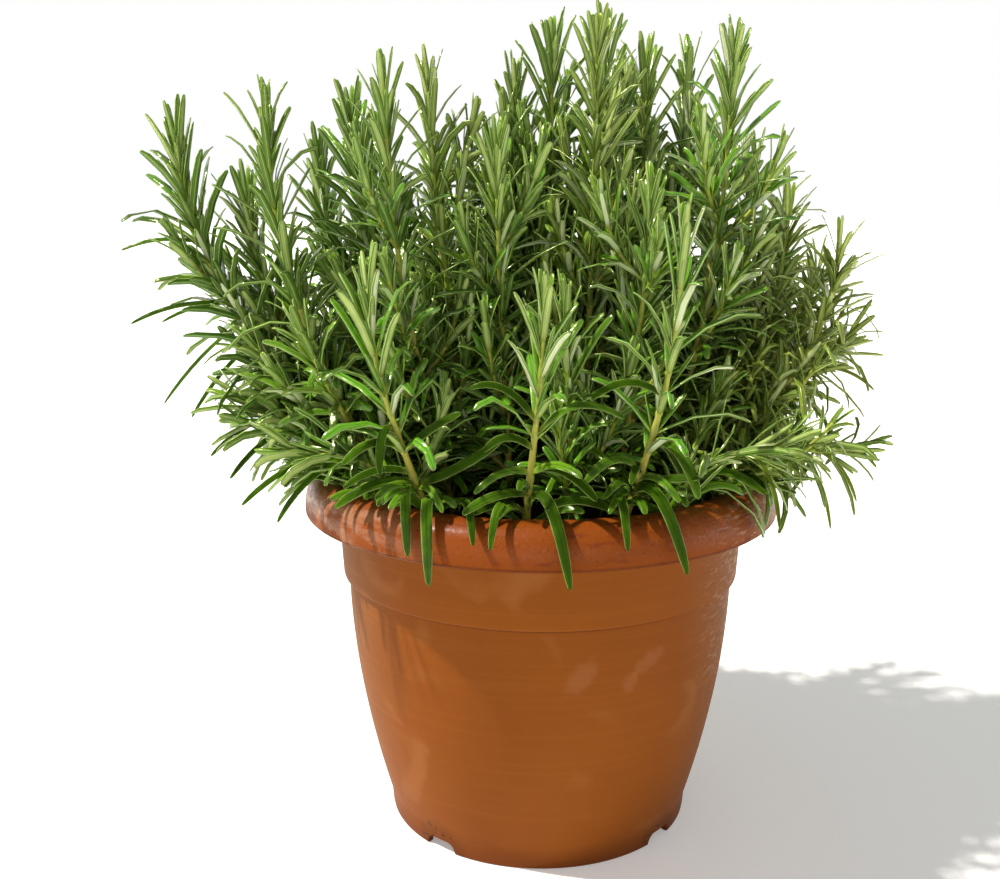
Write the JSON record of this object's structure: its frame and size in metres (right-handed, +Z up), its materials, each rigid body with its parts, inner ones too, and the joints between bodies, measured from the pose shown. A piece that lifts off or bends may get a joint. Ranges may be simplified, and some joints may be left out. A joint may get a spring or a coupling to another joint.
{
  "type": "potted rosemary plant",
  "caption": "Bushy rosemary plant with upright leafy stems growing from soil in a round moulded pot with a stepped collar and a turned-down rim.",
  "frame": {"origin": "on the pot's axis, in the plane that the pot stands on", "axes": "+Z up the pot's axis, -Y towards the front of the plant, +X to the right seen from the front"},
  "size_m": [0.3212, 0.2666, 0.3475],
  "materials": {
    "terracotta_plastic": "satin",
    "potting_soil": "matte",
    "rosemary_foliage": "satin"
  },
  "bodies": {
    "root": {"pot": "terracotta_plastic", "soil": "potting_soil", "sprig_01": "rosemary_foliage", "sprig_02": "rosemary_foliage", "sprig_03": "rosemary_foliage", "sprig_04": "rosemary_foliage", "sprig_05": "rosemary_foliage", "sprig_06": "rosemary_foliage", "sprig_07": "rosemary_foliage", "sprig_08": "rosemary_foliage", "sprig_09": "rosemary_foliage", "sprig_10": "rosemary_foliage", "sprig_11": "rosemary_foliage", "sprig_12": "rosemary_foliage", "sprig_13": "rosemary_foliage", "sprig_14": "rosemary_foliage", "sprig_15": "rosemary_foliage", "sprig_16": "rosemary_foliage", "sprig_17": "rosemary_foliage", "sprig_18": "rosemary_foliage", "sprig_19": "rosemary_foliage", "sprig_20": "rosemary_foliage", "sprig_21": "rosemary_foliage", "sprig_22": "rosemary_foliage", "sprig_23": "rosemary_foliage", "sprig_24": "rosemary_foliage", "sprig_25": "rosemary_foliage", "sprig_26": "rosemary_foliage", "sprig_27": "rosemary_foliage", "sprig_28": "rosemary_foliage", "sprig_29": "rosemary_foliage", "sprig_30": "rosemary_foliage", "sprig_31": "rosemary_foliage", "sprig_32": "rosemary_foliage", "sprig_33": "rosemary_foliage", "sprig_34": "rosemary_foliage", "sprig_35": "rosemary_foliage", "sprig_36": "rosemary_foliage", "sprig_37": "rosemary_foliage", "sprig_38": "rosemary_foliage", "sprig_39": "rosemary_foliage", "sprig_40": "rosemary_foliage", "sprig_41": "rosemary_foliage"}
  },
  "joints": []
}
